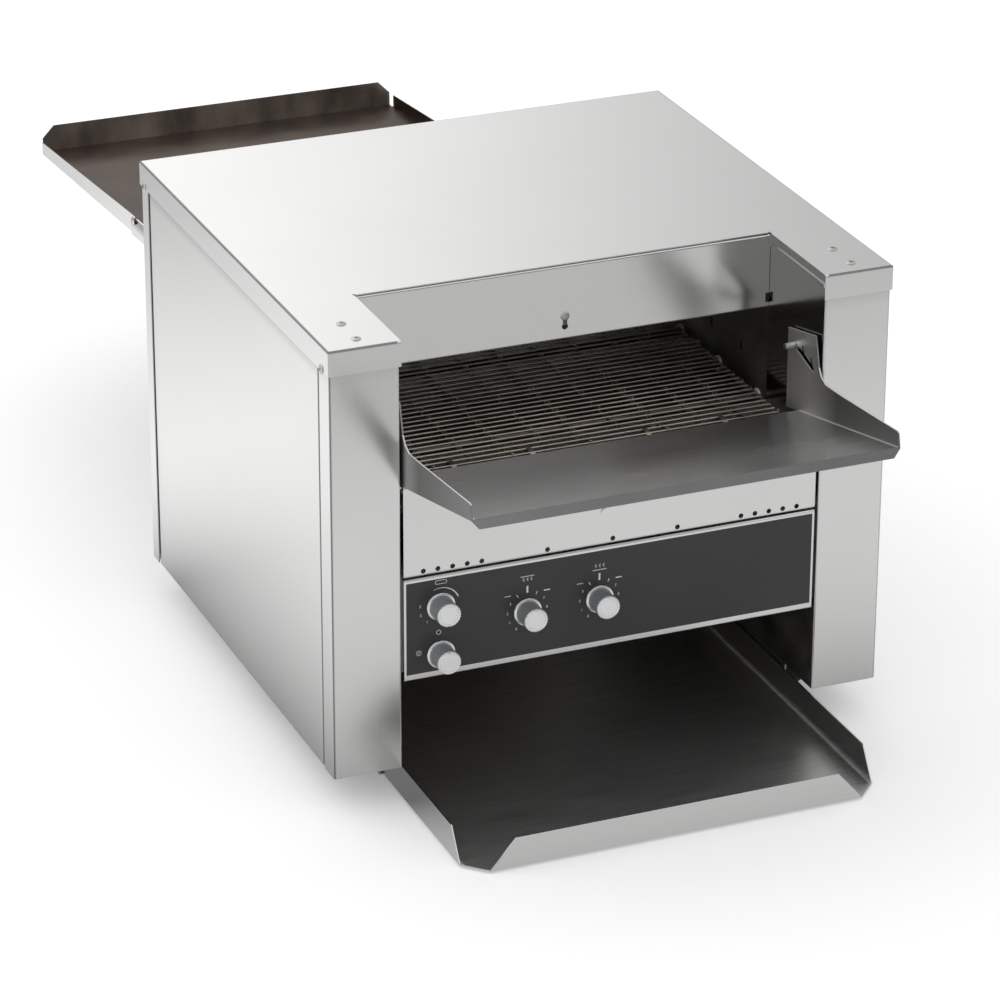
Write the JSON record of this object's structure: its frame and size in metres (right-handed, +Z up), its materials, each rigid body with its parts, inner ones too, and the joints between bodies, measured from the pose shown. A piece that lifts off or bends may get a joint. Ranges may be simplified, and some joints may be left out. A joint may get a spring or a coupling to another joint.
{
  "type": "conveyor toaster",
  "caption": "Countertop conveyor toaster: steel housing round a wire belt, sloping loading shelf, dial panel, and trays that catch the toast at the front and rear.",
  "frame": {"origin": "on the worktop under the feet, at the middle of the whole length and width", "axes": "+X to the right seen from the front, +Y from the loading shelf to the rear tray, +Z up"},
  "size_m": [0.5732, 1.2962, 0.4756],
  "materials": {
    "stainless_steel": "satin grained stainless steel sheet",
    "zinc_steel": "plain folded steel, dull",
    "bright_steel": "turned steel, bright",
    "heat_stained_steel": "steel sheet darkened by heat and crumbs",
    "tray_steel": "dark satin sheet, scuffed",
    "belt_wire": "wire darkened by heat",
    "chain_steel": "oiled steel",
    "overlay_film": "dark grey film with pale dial marks",
    "knob_plastic": "grey moulding with a silver face",
    "control_plastic": "black moulded plastic",
    "spindle_brass": "turned brass",
    "bearing_bronze": "sintered bronze",
    "element_sheath": "oxidised sheath",
    "steatite": "unglazed technical ceramic",
    "foot_rubber": "moulded rubber",
    "motor_casting": "painted casting"
  },
  "bodies": {
    "root": {"base_pans": "stainless_steel", "feet": "foot_rubber", "corner_posts": "zinc_steel", "left_side_panel": "stainless_steel", "right_side_panel": "stainless_steel", "top_cover": "stainless_steel", "cover_screws": "bright_steel", "left_cheek": "stainless_steel", "right_cheek": "stainless_steel", "left_inner_wall": "heat_stained_steel", "right_inner_wall": "heat_stained_steel", "header_plate": "stainless_steel", "header_screw": "bright_steel", "front_fascia": "stainless_steel", "control_panel": "stainless_steel", "panel_overlay": "overlay_film", "control_housing": "stainless_steel", "speed_control": "control_plastic", "power_switch": "control_plastic", "upper_heat_control": "control_plastic", "lower_heat_control": "control_plastic", "shelf_studs": "bright_steel", "tray_runners": "zinc_steel", "return_chute": "heat_stained_steel", "rear_panel": "stainless_steel", "rear_tray_arms": "zinc_steel", "crumb_runners": "zinc_steel", "conveyor_belt": "belt_wire", "belt_supports": "zinc_steel", "shaft_bearings": "bearing_bronze", "gearmotor": "motor_casting", "drive_chain": "chain_steel", "upper_elements": "element_sheath", "lower_elements": "element_sheath", "element_insulators": "steatite", "upper_reflector": "heat_stained_steel", "lower_reflector": "heat_stained_steel", "fan_frame": "control_plastic", "terminal_block": "steatite", "cord_gland": "control_plastic"},
    "loading_shelf": {"loading_shelf": "stainless_steel"},
    "discharge_tray": {"discharge_tray": "tray_steel"},
    "rear_tray": {"rear_tray": "tray_steel"},
    "crumb_tray": {"crumb_tray": "heat_stained_steel"},
    "drive_shaft": {"drive_shaft": "bright_steel", "drive_sprockets": "belt_wire", "chain_sprocket": "chain_steel"},
    "idler_shaft": {"idler_shaft": "bright_steel", "idler_sprockets": "belt_wire"},
    "motor_output": {"motor_sprocket": "chain_steel"},
    "fan_rotor": {"fan_rotor": "control_plastic"},
    "speed_dial": {"speed_knob": "knob_plastic", "speed_spindle": "spindle_brass"},
    "power_dial": {"power_knob": "knob_plastic", "power_spindle": "spindle_brass"},
    "upper_heat_dial": {"upper_heat_knob": "knob_plastic", "upper_heat_spindle": "spindle_brass"},
    "lower_heat_dial": {"lower_heat_knob": "knob_plastic", "lower_heat_spindle": "spindle_brass"}
  },
  "joints": [
    {"name": "drive_spin", "type": "hinge", "parent": "root", "child": "drive_shaft", "pos_m": [0, 0.01212, 0.29534], "axis": [-1, 0, 0], "continuous": true, "deforming": ["conveyor_belt", "drive_chain"]},
    {"name": "idler_spin", "type": "hinge", "parent": "root", "child": "idler_shaft", "pos_m": [0, -0.41788, 0.29534], "axis": [-1, 0, 0], "continuous": true},
    {"name": "motor_spin", "type": "hinge", "parent": "root", "child": "motor_output", "pos_m": [0, 0.01212, 0.18104], "axis": [-1, 0, 0], "continuous": true},
    {"name": "fan_spin", "type": "hinge", "parent": "root", "child": "fan_rotor", "pos_m": [-0.2487, -0.23088, 0.043], "axis": [0, 0, 1], "continuous": true},
    {"name": "shelf_slide", "type": "slide", "parent": "root", "child": "loading_shelf", "axis": [0, 0.9649, 0.2625], "range_m": [0, 0.0388]},
    {"name": "discharge_slide", "type": "slide", "parent": "root", "child": "discharge_tray", "axis": [0, -1, 0], "range_m": [0, 0.3]},
    {"name": "rear_tray_lift", "type": "slide", "parent": "root", "child": "rear_tray", "axis": [0, 0.068, 0.9977], "range_m": [0, 0.04]},
    {"name": "crumb_slide", "type": "slide", "parent": "root", "child": "crumb_tray", "axis": [0, 1, 0], "range_m": [0, 0.25]},
    {"name": "speed_turn", "type": "hinge", "parent": "root", "child": "speed_dial", "pos_m": [-0.1755, -0.47838, 0.1995], "axis": [0, 1, 0], "range_deg": [0, 270]},
    {"name": "power_turn", "type": "hinge", "parent": "root", "child": "power_dial", "pos_m": [-0.1755, -0.47838, 0.15], "axis": [0, 1, 0], "range_deg": [0, 90]},
    {"name": "upper_heat_turn", "type": "hinge", "parent": "root", "child": "upper_heat_dial", "pos_m": [-0.0875, -0.47838, 0.178], "axis": [0, 1, 0], "range_deg": [0, 270]},
    {"name": "lower_heat_turn", "type": "hinge", "parent": "root", "child": "lower_heat_dial", "pos_m": [-0.0135, -0.47838, 0.178], "axis": [0, 1, 0], "range_deg": [0, 270]}
  ],
  "couplings": [
    {"joint": "idler_spin", "follows": "drive_spin", "ratio": 1},
    {"joint": "motor_spin", "follows": "drive_spin", "ratio": 1}
  ]
}
